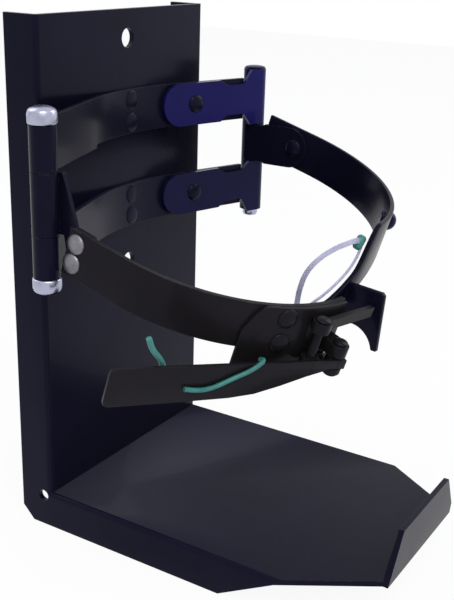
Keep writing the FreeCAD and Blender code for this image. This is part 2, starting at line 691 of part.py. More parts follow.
def safety_tie():
    """The plastic tie laid across the lever, and its bead at the start of the band's tail."""
    piece = Piece("safety_tie")
    low = "lever_low + tie_rise"
    top = "lever_top - tie_rise"
    strip = [("-tie_start", low), ("-tie_bend", low), ("-tie_end", top), ("-tie_end", top + " + tie_width"),
             ("-tie_bend - tie_width / 2", low + " + tie_width"), ("-tie_start", low + " + tie_width")]
    sketch = piece.outline("side", strip)
    bind(sketch, AttachmentOffset=place(z="pivot_barrel"))
    piece.pad(sketch, "tie_sheet")
    piece.put(LEVER)
    piece = Piece("tie_bead")
    piece.cylinder("bead_dia / 2", "bead_length", place())
    tail = RIGHT_RING + " * " + place(angle="-tail_turn") + " * " + place(axis="1;0;0", angle="tail_slope")
    piece.put(tail + " * " + place(angle="-bead_turn") + " * " +
              place(x="front_inner_radius - bead_dia / 2", z="-bead_length / 2"))


back_plate()
rear_strap("upper_rear_strap", "upper_level", "barrel_top + knuckle_gap", "left_stack_top")
rear_strap("lower_rear_strap", "lower_level", "left_stack_bottom", "barrel_bottom - knuckle_gap")
rear_leaf("upper_hinge_plate", "upper_level", "mid_knuckle_top + knuckle_gap", "right_stack_top")
rear_leaf("lower_hinge_plate", "lower_level", "right_stack_bottom", "mid_knuckle_bottom - knuckle_gap")
band_leaf()
strap_leaf()
right_band()
left_strap()
hinge_pins()
ring_rivets()
band_bolt()
latch_base()
headed_pin("pivot_pin", "base_low - knuckle_gap", "ear_top + knuckle_gap", PIVOT)
latch_lever()
headed_pin("link_pin", "lever_low - knuckle_gap", "link_level + link_height + knuckle_gap",
           LEVER + " * " + place(y="-link_pivot_at"))
latch_link()
safety_tie()

os.makedirs("parts", exist_ok=True)
doc.recompute()
for one in doc.Objects:
    if "Invalid" in one.State or "Error" in one.State:
        raise RuntimeError("%s has failed" % one.Name)
for body in PIECES:
    if body.Shape.isNull() or not body.Shape.isValid() or len(body.Shape.Solids) < 1:
        raise RuntimeError("%s is not a valid solid" % body.Label)
for body in PIECES:
    body.Shape.exportStep("parts/%s.step" % body.Label)
    print(body.Label, round(body.Shape.Volume), len(body.Shape.Solids))
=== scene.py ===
"""Looks of the fire extinguisher bracket: enamelled black sheet steel, plated pins and a pale studio.

Sizes are in millimetres and angles in degrees, in the solids' own frame, and MM turns them into
metres. Only the studio and the camera's near and far limits are given in metres.
"""
import math

import numpy as np

import bmesh
import bpy
from mathutils import Matrix, Vector


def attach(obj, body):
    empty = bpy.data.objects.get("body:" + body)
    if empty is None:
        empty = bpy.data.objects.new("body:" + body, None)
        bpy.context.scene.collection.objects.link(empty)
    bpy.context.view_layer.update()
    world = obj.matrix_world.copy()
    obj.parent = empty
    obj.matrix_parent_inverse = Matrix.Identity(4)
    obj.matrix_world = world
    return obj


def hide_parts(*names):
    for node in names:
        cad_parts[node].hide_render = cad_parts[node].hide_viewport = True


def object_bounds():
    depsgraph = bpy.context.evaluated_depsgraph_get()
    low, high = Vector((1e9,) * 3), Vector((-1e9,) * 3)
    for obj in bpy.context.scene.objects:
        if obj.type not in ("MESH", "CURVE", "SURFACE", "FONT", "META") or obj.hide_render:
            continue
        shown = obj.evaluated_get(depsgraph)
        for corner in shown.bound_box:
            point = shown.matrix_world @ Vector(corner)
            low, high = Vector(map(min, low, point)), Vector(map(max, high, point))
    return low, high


MM = 0.001

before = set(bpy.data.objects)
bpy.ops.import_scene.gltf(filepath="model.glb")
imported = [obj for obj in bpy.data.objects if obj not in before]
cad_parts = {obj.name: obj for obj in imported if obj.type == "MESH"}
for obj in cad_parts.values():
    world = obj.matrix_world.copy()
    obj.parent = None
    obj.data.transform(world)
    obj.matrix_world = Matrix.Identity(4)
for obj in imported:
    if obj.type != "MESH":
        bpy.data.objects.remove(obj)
CAD_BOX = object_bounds()

# Camera, as the photograph was taken
CAMERA_PLACE = Vector((-470.84, -361.87, 120.99)) * MM
CAMERA_YAW = math.radians(58.558)
CAMERA_PITCH = math.radians(19.656)
CAMERA_ROLL = math.radians(1.781)
CAMERA_FOCAL_PX = 1014.59
FRAME_HEIGHT_PX = 600
SENSOR = 36.0
CAMERA_NEAR, CAMERA_FAR = 0.01, 50.0

# The clamp ring, with the sizes of the part's source. Each half is straight for HALF_START from its
# pin, and droops from its fold on.
PIN_X, PIN_Y, PIN_RADIUS = 100.975, -27.983, 4.0
RING_INSIDE, RING_OUTSIDE, RING_CENTRE = 85.0, 87.5, 89.5
HALF_STRAP, HALF_START = 12.7, 45.0
BAND_DROOP, BAND_FOLD, BAND_LEVEL, BAND_STRAIGHT = 16.5, 34.0, -3.65, 34.0
STRAP_DROOP, STRAP_FOLD, STRAP_LEVEL = 16.7, 16.0, -25.0

# The right half past its bolt: angle, upper and lower edge, read as the sheet's flat outline
BAND_OUTLINE = ((-60.0, 12.7, -12.7), (-70.0, 12.7, -13.0), (-78.0, 12.7, -17.0), (-84.0, 12.7, -21.6),
                (-88.0, 12.7, -24.6), (-89.6, 12.0, -25.8), (-90.7, 10.0, -26.6), (-91.6, 6.0, -27.2),
                (-92.4, 0.0, -27.8), (-93.2, -7.0, -28.3), (-94.4, -12.6, -29.1), (-96.0, -15.8, -30.1),
                (-98.0, -18.6, -31.4), (-100.5, -22.0, -33.0), (-105.5, -28.0, -36.4),
                (-109.0, -31.0, -38.6), (-111.0, -33.2, -39.6))
BAND_ANGLES = [*np.linspace(0.0, -86.0, 60), *np.linspace(-87.0, -98.0, 34), *np.linspace(-99.0, -111.0, 14)]
BAND_EDGE = 0.55

# The catch on the band's tail, a tab with a hollowed lower edge
CATCH_TURN, CATCH_ROOT, CATCH_LEVEL, CATCH_LEAN = -97.0, 84.6, -20.5, 13.0
CATCH_REACH, CATCH_HEIGHT, CATCH_SHEET, CATCH_CORNER = 24.0, 33.0, 3.0, 1.5
HOLLOW_AT, HOLLOW_DROP, HOLLOW_RADIUS = 7.0, 3.0, 14.0

# The latch: its base plate's angle, upper and lower edge, then its ears and pins
BASE_OUTLINE = ((223.0, -2.0, -24.0), (226.0, 8.0, -30.0), (229.0, 12.7, -34.0), (240.0, 12.7, -33.0),
                (246.0, 12.7, -29.5), (252.0, 12.7, -24.0), (258.0, 12.7, -18.5), (262.0, 12.7, -14.0))
BASE_OUTSIDE, BASE_EDGE = 90.0, 0.5
EAR_LEVELS = ((-22.0, -18.0), (-12.1, -5.1))
EAR_LENGTH = 10.0
PIVOT_TURN, PIVOT_REACH = 257.0, 99.0
PIVOT_PIN_ENDS, LINK_PIN_ENDS = (-22.3, -4.8), (-18.0, 9.0)
LATCH_PIN_RADIUS, LATCH_HEAD_RADIUS, LATCH_HEAD_RISE = 2.5, 4.0, 1.8

# The lever, level against distance along it: square free end, narrow neck at the pivot
LEVER_TURN, LEVER_FACE, LEVER_SHEET, LEVER_EDGE = -17.0, 5.0, 2.0, 0.45
LEVER_TOP, LEVER_NECK = -12.4, -17.7
LEVER_OUTLINE = ((LEVER_TOP, 4.0), (LEVER_NECK, 4.0), (LEVER_NECK, -5.0), (-21.5, -18.0), (-26.5, -32.0),
                 (-30.6, -46.0), (-32.2, -60.0), (-33.0, -90.0), (-33.4, -123.0), (-32.6, -125.4),
                 (-30.6, -126.2), (-15.0, -126.2), (-13.0, -125.4), (LEVER_TOP, -123.5))
BARREL_RADIUS, BARREL_EDGE, LINK_PIN_AT = 5.0, 0.3, -16.0

# The folded sheet's foot and lip in the solids, and how the real lip differs from the solid one
FOOT_DROP, FOOT_REACH, LIP_TOP = 191.0, 203.0, 12.2
LIP_TALLER, LIP_STRAIGHTER, LIP_INSET_MORE = 13.2, 3.0, 7.5
FOOT_SHORTER, NOSE_WIDER = 1.5, 1.0

# Copies of CAD meshes: points that are merged, faces that count as flat, and points that touch a plane
MERGED_WITHIN, FLAT_WITHIN, TOUCH = 0.002, 0.5, 0.01
# A rivet's points past this share of its head's radius lie on the rim, where the seat is
RIM_SHARE = 0.97

# How much further the rear hinge plates' round ends reach, how far from the pin those ends begin, and
# how far from the rivet's axis everything stays in place, so that its hole does too
LEAF_LONGER, LEAF_BENT = 14.0, 0.7
LEAF_ROUND, LEAF_HOLE = 49.5, 4.5

# Hinge pins, end caps and stud, as profiles of radius and height where they are turned. The crown of
# a cap is part of an ellipse, between two angles in radians.
LEFT_PIN_ENDS, RIGHT_PIN_ENDS = (-44.6, 33.6), (-48.0, 43.1)
RIGHT_HEAD_RADIUS, RIGHT_HEAD_RISE = 6.5, 1.6
CAP_WALL = ((0.0, 0.0), (6.7, 0.0), (7.3, 0.3), (7.5, 1.0), (7.5, 5.2), (7.2, 5.8))
CAP_CROWN_RISE, CAP_CROWN_SPAN, CAP_HEIGHT = 3.2, (0.12, 1.45), 9.0
RIGHT_PIN_TAIL = ((0.0, -53.6), (3.0, -53.6), (4.3, -53.1), (4.9, -52.0), (4.9, -49.4), (4.0, -49.0),
                  (0.0, -49.0))
BOLT_TURN = 60.0
STUD_END = ((0.0, 4.0), (3.0, 3.9), (4.4, 3.4), (4.8, 2.6), (4.0, 2.4), (4.0, 0.0))
STUD_HEAD_RADIUS, STUD_HEAD_RISE = 5.6, -5.6
HEAD_EDGE, HEAD_BRIM = 0.15, 0.3

# The moulded tie: a bead and a loop by angle, radius and level on the band, two strips on the lever
BEAD_PROFILE = ((0.0, -4.0), (1.6, -4.0), (2.5, -3.0), (2.6, 0.0), (2.5, 3.0), (1.6, 4.0), (0.0, 4.0))
BEAD_AT, BEAD_LEAN = (-93.5, 81.8, 1.0), 35.0
UPPER_STRAND = ((-92.5, 82.0, 1.0), (-97.0, 82.5, 3.4), (-104.0, 83.2, 3.6), (-111.0, 83.5, 1.0),
                (-116.0, 83.3, -4.5), (-118.5, 82.5, -12.0), (-118.5, 81.5, -22.0), (-116.5, 80.0, -33.0))
LOWER_STRAND = ((-93.0, 83.4, -1.0), (-94.5, 83.8, -8.0), (-97.5, 83.8, -14.5), (-102.0, 83.8, -20.5),
                (-107.0, 83.6, -26.5), (-112.0, 82.5, -33.0))
UPPER_WIDTH, LOWER_WIDTH, STRAND_SHEET = 3.0, 1.6, 0.9
SHORT_TIE = ((1.2, -110.0, 1.6), (1.2, -106.5, -4.4), (1.2, -101.0, -10.4), (1.2, -97.0, -17.4))
LONG_TIE = ((6.0, -87.0, -24.4), (6.2, -80.0, -25.2), (6.2, -74.0, -24.8), (6.2, -62.0, -19.4),
            (5.8, -50.0, -13.0), (4.0, -46.5, -11.0), (1.0, -46.0, -12.5))
SHORT_TIE_DIA, LONG_TIE_DIA = 2.9, 2.5

# Studio, in metres: lamps by name, place, size and power in watts, aimed at the ring
FLOOR_COLOUR, FLOOR_SIZE, FLOOR_WHITE = (0.86, 0.86, 0.88), 6.0, 0.93
WORLD_COLOUR, WORLD_STRENGTH = (0.90, 0.92, 1.0), 0.5
LAMPS = (("key", (-0.9, -1.1, 1.5), 1.1, 22.0),
         ("fill", (1.3, -0.9, 0.9), 1.0, 8.0),
         ("back", (-0.2, 1.4, 1.3), 1.2, 10.0))
LAMP_AIM = (0.0, -0.08, -0.05)
WHITE = (1.0, 1.0, 1.0, 1.0)

# Finishes
# The black is the paint's own colour, and its blue cast is painted reflection of bluish light.
PAINT_BLACK = (0.0042, 0.0040, 0.0112)
PAINT_WORN = (0.0100, 0.0088, 0.0092)
# Painted reflection: the blue of the lower hinge plate, the hinge pins and the stud stands in for bluish
# light reflected on them.
PAINT_BLUE_REFLECTION = (0.006, 0.006, 0.028)
# Painted reflection: the violet of the upper hinge plate stands in for bluish light reflected from above,
# stronger than on the lower plate.
PAINT_VIOLET_REFLECTION = (0.0080, 0.0072, 0.062)
PAINT_DUST, PAINT_RUBBED = (0.16, 0.15, 0.15), (0.10, 0.095, 0.10)
PAINT_SHEEN = (0.55, 0.53, 1.0, 1.0)
STEEL_BRIGHT, STEEL_TARNISH = (0.44, 0.45, 0.58), (0.25, 0.26, 0.35)
STEEL_DULL, STEEL_DARK = (0.24, 0.23, 0.26), (0.11, 0.105, 0.12)
TEAL, TEAL_DEEP = (0.03, 0.20, 0.175), (0.015, 0.11, 0.105)
PALE, PALE_DEEP = (0.62, 0.62, 0.80), (0.42, 0.43, 0.62)
WORN_NODES = {"latch_link", "left_strap"}


def shift(x=0.0, y=0.0, z=0.0):
    return Matrix.Translation(Vector((x, y, z)) * MM)


def turn(axis, degrees):
    return Matrix.Rotation(math.radians(degrees), 4, axis)


# Frames of the ring's halves, of the latch's pins and of the hinge pins
RIGHT_RING = (shift(PIN_X, PIN_Y - BAND_FOLD, BAND_LEVEL) @ turn("X", BAND_DROOP)
              @ shift(-RING_CENTRE, BAND_FOLD - HALF_START))
STRAP_SUNK = STRAP_LEVEL - STRAP_FOLD * math.tan(math.radians(STRAP_DROOP))
LEFT_RING = (shift(-PIN_X, PIN_Y - STRAP_FOLD, STRAP_SUNK) @ turn("X", STRAP_DROOP)
             @ shift(RING_CENTRE, STRAP_FOLD - HALF_START))
PIVOT = LEFT_RING @ turn("Z", PIVOT_TURN) @ shift(PIVOT_REACH)
LEVER = PIVOT @ turn("Z", LEVER_TURN)
LINK_PIN = LEVER @ shift(y=LINK_PIN_AT)
LEFT_PIN, RIGHT_PIN = shift(-PIN_X, PIN_Y), shift(PIN_X, PIN_Y)


class Value:
    """A socket that takes part in Python arithmetic."""

    def __init__(self, nodes, socket):
        self.nodes = nodes
        self.socket = socket

    def maths(self, operation, first, second):
        return self.nodes.node("Math", {"operation": operation}, {0: first, 1: second})

    def __add__(self, other):
        return self.maths("ADD", self, other)

    def __radd__(self, other):
        return self.maths("ADD", other, self)

    def __sub__(self, other):
        return self.maths("SUBTRACT", self, other)

    def __rsub__(self, other):
        return self.maths("SUBTRACT", other, self)

    def __mul__(self, other):
        return self.maths("MULTIPLY", self, other)

    def __rmul__(self, other):
        return self.maths("MULTIPLY", other, self)

    def clamped(self):
        return self.nodes.node("Clamp", {}, {"Value": self})

    def ramp(self, low, high):
        """0 below low, 1 above high and a smooth step between them."""
        return self.nodes.node("MapRange", {"interpolation_type": "SMOOTHSTEP"},
                               {"Value": self, "From Min": low, "From Max": high})


class Nodes:
    """A node tree that is built from expressions."""

    def __init__(self, tree, prefix):
        self.tree = tree
        self.prefix = prefix

    def node(self, kind, settings=None, sockets=None, out=0):
        """Add a node, make its settings, then fill its sockets with values or links."""
        made = self.tree.nodes.new(self.prefix + kind)
        for name, value in (settings or {}).items():
            setattr(made, name, value)
        for name, value in (sockets or {}).items():
            if isinstance(value, Value):
                self.tree.links.new(value.socket, made.inputs[name])
            else:
                made.inputs[name].default_value = value
        return Value(self, made.outputs[out]) if made.outputs else None


class Shader(Nodes):
    """The shader of a material or of the world."""

    def __init__(self, owner):
        owner.use_nodes = True
        owner.node_tree.nodes.clear()
        super().__init__(owner.node_tree, "ShaderNode")
        self.owner = owner

    def noise(self, scale, detail, roughness=0.5, stretch=None):
        where = self.node("TexCoord", out="Object")
        if stretch:
            where = self.node("Mapping", {}, {"Vector": where, "Scale": stretch})
        return self.node("TexNoise", {}, {"Vector": where, "Scale": scale, "Detail": detail,
                                          "Roughness": roughness})

    def mix(self, factor, first, second):
        """A colour between two others, each a link or a tuple."""
        colours = [c if isinstance(c, Value) else (*c, 1.0) for c in (first, second)]
        return self.node("Mix", {"data_type": "RGBA"}, {0: factor, 6: colours[0], 7: colours[1]}, out=2)

    def softened(self, reach):
        """The surface's direction with its edges rounded over the given reach."""
        return self.node("Bevel", {"samples": 8}, {"Radius": reach * MM})

    def edges(self, reach):
        """1 near a sharp edge and 0 on open faces."""
        plain = self.node("NewGeometry", out="Normal")
        facing = self.node("VectorMath", {"operation": "DOT_PRODUCT"},
                           {0: self.softened(reach), 1: plain}, out="Value")
        return (1.0 - facing).ramp(0.02, 0.25)

    def bump(self, height, distance, strength, **under):
        """A bumped direction, over another one where Normal is given."""
        return self.node("Bump", {}, {"Height": height, "Distance": distance * MM,
                                      "Strength": strength, **under})

    def seen(self):
        """1 to the camera, in reflections and through clear plastic, and 0 to other light."""
        camera, glossy, through = (self.node("LightPath", out="Is %s Ray" % kind)
                                   for kind in ("Camera", "Glossy", "Transmission"))
        return (camera + glossy + through).clamped()

    def finish(self, **sockets):
        names = {key.replace("_", " "): value for key, value in sockets.items()}
        self.node("OutputMaterial", {}, {"Surface": self.node("BsdfPrincipled", {}, names)})
        return self.owner


def gloss_paint(name, colour, roughness, wear):
    """Stove-enamelled sheet steel: a glossy coat with orange peel, dust and lightly rubbed edges."""
    s = Shader(bpy.data.materials.new(name))
    peel = s.noise(420.0, 2.0, 0.5)
    waves = s.noise(38.0, 2.0, 0.45)
    cloud = s.noise(9.0, 4.0, 0.6).ramp(0.35, 0.7)
    specks = s.noise(900.0, 2.0, 0.7).ramp(0.70, 0.80)
    rubbed = (s.edges(0.9) * s.noise(160.0, 5.0, 0.7).ramp(0.50, 0.64)).clamped()
    tone = s.mix(cloud * 0.5, colour, [1.9 * c for c in colour])
    tone = s.mix(specks * 0.10, tone, PAINT_DUST)
    tone = s.mix(rubbed * wear, tone, PAINT_RUBBED)
    shine = roughness + cloud * 0.07 + specks * 0.25 + rubbed * 0.15
    skin = s.bump(peel * 0.25 + waves, 0.09, 0.55, Normal=s.softened(0.45))
    return s.finish(Base_Color=tone, Roughness=shine, Normal=skin, IOR=1.5, Specular_IOR_Level=0.085,
                    Specular_Tint=PAINT_SHEEN, Coat_Weight=0.03, Coat_Roughness=0.05)


def plated_steel(name, bright, tarnish, roughness):
    """Plated steel with fine turning marks and a soft tarnish."""
    s = Shader(bpy.data.materials.new(name))
    lines = s.noise(1400.0, 3.0, 0.6, stretch=(0.08, 0.08, 1.0))
    cloud = s.noise(140.0, 4.0, 0.6).ramp(0.4, 0.7)
    shine = roughness + cloud * 0.14 + lines * 0.06
    skin = s.bump(lines, 0.02, 0.5, Normal=s.softened(0.5))
    return s.finish(Base_Color=s.mix(cloud * 0.5, bright, tarnish), Metallic=1.0, Roughness=shine,
                    Normal=skin)


def moulded_plastic(name, colour, deep, roughness, light_through):
    """Moulded plastic strip with a fine grain, flow marks and a little light coming through it."""
    s = Shader(bpy.data.materials.new(name))
    grain = s.noise(1500.0, 2.0, 0.6)
    flow = s.noise(120.0, 3.0, 0.55, stretch=(1.0, 1.0, 0.3)).ramp(0.35, 0.7)
    return s.finish(Base_Color=s.mix(flow * 0.6, colour, deep), Roughness=roughness + flow * 0.12,
                    Normal=s.bump(grain + flow, 0.04, 0.5), IOR=1.47, Transmission_Weight=light_through)


def placed(name, data):
    """A new object in the scene, at the origin."""
    made = bpy.data.objects.new(name, data)
    bpy.context.scene.collection.objects.link(made)
    return made


def loose(name, verts, faces):
    """A new piece from points and faces."""
    mesh = bpy.data.meshes.new(name)
    mesh.from_pydata([tuple(v) for v in verts], [], faces)
    return placed(name, mesh)


def from_work(name, work):
    """A new piece from a bmesh, which is freed."""
    mesh = bpy.data.meshes.new(name)
    work.to_mesh(mesh)
    work.free()
    return placed(name, mesh)


def shaded(piece, crease):
    """Shade a piece smooth, apart from edges that turn by more than the crease."""
    piece.data.shade_smooth()
    piece.data.set_sharp_from_angle(angle=math.radians(crease))
    return piece


def shown_mesh(piece):
    """A plain mesh of what an object's modifiers or curve settings show."""
    bpy.context.view_layer.update()
    return bpy.data.meshes.new_from_object(piece.evaluated_get(bpy.context.evaluated_depsgraph_get()))


def settle(piece):
    """Make what the modifiers show the piece's own mesh."""
    made = shown_mesh(piece)
    piece.modifiers.clear()
    piece.data = made
    made.name = piece.name


def smoothed(piece, width):
    """Round the edges of a piece and make the result its own plain mesh."""
    bevel = piece.modifiers.new("edges", "BEVEL")
    bevel.width = width * MM
    bevel.segments = 3
    bevel.limit_method = "ANGLE"
    bevel.angle_limit = math.radians(35.0)
    settle(piece)
    return shaded(piece, 40.0)


def joined(name, *pieces):
    """Several closed pieces as one, with their faces turned outwards."""
    work = bmesh.new()
    for piece in pieces:
        work.from_mesh(piece.data)
        bpy.data.objects.remove(piece)
    bmesh.ops.recalc_face_normals(work, faces=work.faces)
    return from_work(name, work)


def hand_in(piece, body, slot, material, *nodes):
    """Dress a piece, let it ride on its body and stand for the CAD nodes that it replaces."""
    piece.data.materials.clear()
    piece.data.materials.append(material)
    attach(piece, body)
    if nodes:
        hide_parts(*nodes)


def around(angle, radius, level=0.0):
    """A point from its angle, radius and level round a frame's Z axis."""
    return (radius * math.cos(math.radians(angle)), radius * math.sin(math.radians(angle)), level)


def between(table, x):
    """The two values of a table at x, on straight lines between its rows."""
    rows = sorted(table)
    places = [row[0] for row in rows]
    return [float(np.interp(x, places, [row[column] for row in rows])) for column in (1, 2)]


def turned(name, profile, where, steps=48):
    """Spin a profile of (radius, height) points round the frame's Z axis into a closed turned piece."""
    verts = [where @ (Vector(around(360.0 * index / steps, radius, height)) * MM)
             for index in range(steps) for radius, height in profile[1:-1]]
    rows = len(profile) - 2
    first, last = len(verts), len(verts) + 1
    verts += [where @ (Vector((0, 0, height)) * MM) for height in (profile[0][1], profile[-1][1])]
    faces = []
    for index in range(steps):
        here, after = index * rows, (index + 1) % steps * rows
        faces += [(first, after, here), (last, here + rows - 1, after + rows - 1)]
        faces += [(here + row, after + row, after + row + 1, here + row + 1) for row in range(rows - 1)]
    return shaded(joined(name, loose("spun", verts, faces)), 50.0)


def domed(radius, seat, rise):
    """Profile points of a button head from its seat to its crown, upwards for a positive rise."""
    edge, brim = math.copysign(HEAD_EDGE, rise), math.copysign(HEAD_BRIM, rise)
    points = [(radius - HEAD_EDGE, seat), (radius, seat + edge), (radius, seat + brim)]
    for angle in np.linspace(0.0, 90.0, 10)[1:-1]:
        across, up, _ = around(angle, 1.0)
        points.append((radius * across, seat + brim + (rise - brim) * up))
    return points + [(0.0, seat + rise)]


def plate(outline, where, thick):
    """A flat plate: an outline of (a, b) points in the frame's XY plane, thick along its Z."""
    count = len(outline)
    verts = [where @ (Vector((a, b, z)) * MM) for z in (0.0, thick) for a, b in outline]
    faces = [tuple(range(count)), tuple(range(2 * count - 1, count - 1, -1))]
    for index in range(count):
        after = (index + 1) % count
        faces.append((index, index + count, after + count, after))
    return loose("plate", verts, faces)


def bent_bar(sections):
    """A bar through sections of four points each, closed at both ends."""
    verts = [point for section in sections for point in section]
    end = len(verts) - 4
    faces = [(3, 2, 1, 0), (end, end + 1, end + 2, end + 3)]
    for here in range(0, end, 4):
        for side in range(4):
            other = (side + 1) % 4
            faces.append((here + side, here + other, here + 4 + other, here + 4 + side))
    return loose("bar", verts, faces)


def corners(inside, outside, top, low):
    """Radius and level of a sheet's four corners, where it is cut across."""
    return (inside, low), (inside, top), (outside, top), (outside, low)


def curved_sections(where, outline, angles, radii):
    """Sections of a sheet that lies round the ring, its edges read from an outline by angle."""
    inside, outside = radii
    return [[where @ (Vector(around(angle, radius, level)) * MM)
             for radius, level in corners(inside, outside, *between(outline, angle))] for angle in angles]


def band_sheet():
    """The right half of the ring: straight from the hinge, round the cylinder, then the sloping tail."""
    straight = [[RIGHT_RING @ (Vector((radius, y, level)) * MM)
                 for radius, level in corners(RING_INSIDE, RING_OUTSIDE, HALF_STRAP, -HALF_STRAP)]
                for y in np.linspace(BAND_STRAIGHT, 0.0, 8)[:-1]]
    return bent_bar(straight + curved_sections(RIGHT_RING, BAND_OUTLINE, BAND_ANGLES,
                                               (RING_INSIDE, RING_OUTSIDE)))


def catch_tab():
    """The tab turned out of the tail, with the hollowed lower edge that leaves a pointed corner."""
    outline = [(0.0, 0.0), (CATCH_REACH - CATCH_CORNER, 0.0), (CATCH_REACH, -CATCH_CORNER),
               (CATCH_REACH, -CATCH_HEIGHT)]
    first = math.degrees(math.asin(HOLLOW_DROP / HOLLOW_RADIUS))
    last = 180.0 - math.degrees(math.acos(HOLLOW_AT / HOLLOW_RADIUS))
    for angle in np.linspace(first, last, 14):
        across, up, _ = around(angle, HOLLOW_RADIUS)
        outline.append((HOLLOW_AT + across, up - CATCH_HEIGHT - HOLLOW_DROP))
    where = (RIGHT_RING @ turn("Z", CATCH_TURN) @ shift(CATCH_ROOT, 0.0, CATCH_LEVEL)
             @ turn("Y", -CATCH_LEAN) @ shift(y=CATCH_SHEET) @ turn("X", 90.0))
    return plate(outline, where, CATCH_SHEET)


def latch_base():
    """The latch's base: a plate curved to the strap, its lower edge slanting up, and two ears."""
    angles = np.linspace(BASE_OUTLINE[0][0], BASE_OUTLINE[-1][0], 36)
    curved = bent_bar(curved_sections(LEFT_RING, BASE_OUTLINE, angles, (RING_OUTSIDE, BASE_OUTSIDE)))
    tip = [around(angle, BARREL_RADIUS)[:2] for angle in np.linspace(-90.0, 90.0, 12)]
    ear = [(-EAR_LENGTH, -BARREL_RADIUS), *tip, (-EAR_LENGTH, BARREL_RADIUS)]
    ears = [plate(ear, PIVOT @ shift(z=low), high - low) for low, high in EAR_LEVELS]
    return smoothed(joined("latch_base_plate", curved, *ears), BASE_EDGE)


def latch_lever():
    """The long lever, square at its free end and narrowed towards the pivot, with its two barrels."""
    blade = plate(LEVER_OUTLINE, LEVER @ shift(LEVER_FACE) @ turn("Y", -90.0), LEVER_SHEET)
    rim = BARREL_RADIUS - BARREL_EDGE
    profile = [(0.0, LEVER_NECK), (rim, LEVER_NECK), (BARREL_RADIUS, LEVER_NECK + BARREL_EDGE),
               (BARREL_RADIUS, LEVER_TOP - BARREL_EDGE), (rim, LEVER_TOP), (0.0, LEVER_TOP)]
    barrels = [turned("barrel", profile, where, 32) for where in (LEVER, LINK_PIN)]
    return smoothed(joined("lever_blade", blade, *barrels), LEVER_EDGE)


def reshaped(name, node, moved):
    """A merged copy of a CAD node with its points moved and its flat faces kept flat."""
    work = bmesh.new()
    work.from_mesh(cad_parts[node].data)
    bmesh.ops.remove_doubles(work, verts=work.verts, dist=MERGED_WITHIN * MM)
    bmesh.ops.dissolve_limit(work, angle_limit=math.radians(FLAT_WITHIN), verts=work.verts,
                             edges=work.edges)
    for point in work.verts:
        point.co = moved(point.co.copy())
    return shaded(from_work(name, work), 30.0)


def stood_up(point):
    """A point of the folded sheet, moved so that its lip has the real height, lean and slanted ends."""
    if point.y > (TOUCH - FOOT_REACH) * MM:
        return point
    share = max(0.0, (point.z + FOOT_DROP * MM) / (LIP_TOP * MM))
    side = 1 if point.x > 0 else -1
    wider = side * (NOSE_WIDER - share * LIP_INSET_MORE)
    return point + Vector((wider, FOOT_SHORTER + share * LIP_STRAIGHTER, share * LIP_TALLER)) * MM


def longer_leaf(name, node, rivet):
    """A rear hinge plate whose round end reaches further past its rivet, bent with the strap behind it."""
    axis = ends_of(rivet)[0][0]
    pin = Vector((PIN_X, PIN_Y, 0.0)) * MM
    along = Vector((axis.x - pin.x, axis.y - pin.y, 0.0)).normalized()
    forward = Vector((-along.y, along.x, 0.0))

    def moved(point):
        flat = point - axis
        off = (flat - forward * flat.dot(forward)).length
        if (point - pin).dot(along) < LEAF_ROUND * MM or off < LEAF_HOLE * MM:
            return point
        return point + (along * LEAF_LONGER + forward * LEAF_BENT) * MM
    return reshaped(name, node, moved)


def ends_of(name):
    """Seat, outward direction, head radius and rise at both ends of a headed rivet's node."""
    points = np.array([v.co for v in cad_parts[name].data.vertices])
    centre = (points.max(0) + points.min(0)) / 2
    axis = np.linalg.svd(points - points.mean(0), full_matrices=False)[2][0]
    along = (points - centre) @ axis
    middle = centre + axis * (along.max() + along.min()) / 2
    along = (points - middle) @ axis
    away = np.linalg.norm(points - middle - np.outer(along, axis), axis=1)
    rim = away.max()
    seats = along[away > rim * RIM_SHARE]
    result = []
    for side in (1, -1):
        seat = (seats * side).max()
        rise = (along * side).max() - seat
        result.append((Vector(middle + axis * side * seat), Vector(axis * side), float(rim), float(rise)))
    return result


def head_tree(material):
    """Geometry Nodes that set a smooth button head on every point, turned and sized by its attributes."""
    tree = bpy.data.node_groups.new("button_heads", "GeometryNodeTree")
    tree.interface.new_socket("Geometry", in_out="INPUT", socket_type="NodeSocketGeometry")
    segments = tree.interface.new_socket("Segments", in_out="INPUT", socket_type="NodeSocketInt")
    segments.default_value = 32
    tree.interface.new_socket("Geometry", in_out="OUTPUT", socket_type="NodeSocketGeometry")
    g = Nodes(tree, "")
    ball = g.node("GeometryNodeMeshUVSphere", {},
                  {"Segments": g.node("NodeGroupInput", out="Segments"), "Rings": 16, "Radius": 1.0})
    outward, size = (g.node("GeometryNodeInputNamedAttribute", {"data_type": "FLOAT_VECTOR"}, {"Name": name})
                     for name in ("outward", "size"))
    facing = g.node("FunctionNodeAlignRotationToVector", {"axis": "Z"}, {"Vector": outward})
    heads = g.node("GeometryNodeInstanceOnPoints", {},
                   {"Points": g.node("NodeGroupInput", out="Geometry"), "Instance": ball,
                    "Rotation": facing, "Scale": size})
    real = g.node("GeometryNodeRealizeInstances", {}, {"Geometry": heads})
    soft = g.node("GeometryNodeSetShadeSmooth", {}, {0: real})
    painted = g.node("GeometryNodeSetMaterial", {}, {"Geometry": soft, "Material": material})
    g.node("NodeGroupOutput", {}, {"Geometry": painted})
    return tree


def rivet_heads(name, nodes, body, slot, material):
    """The button heads of one body's rivets, in place of the plain CAD ones."""
    heads = [end for node in nodes for end in ends_of(node)]
    base = loose(name, [seat for seat, outward, radius, rise in heads], [])
    for key in ("outward", "size"):
        layer = base.data.attributes.new(key, "FLOAT_VECTOR", "POINT")
        for row, (seat, outward, radius, rise) in zip(layer.data, heads):
            row.vector = outward if key == "outward" else (radius, radius, rise)
    base.modifiers.new("heads", "NODES").node_group = head_tree(material)
    settle(base)
    hand_in(base, body, slot, material, *nodes)


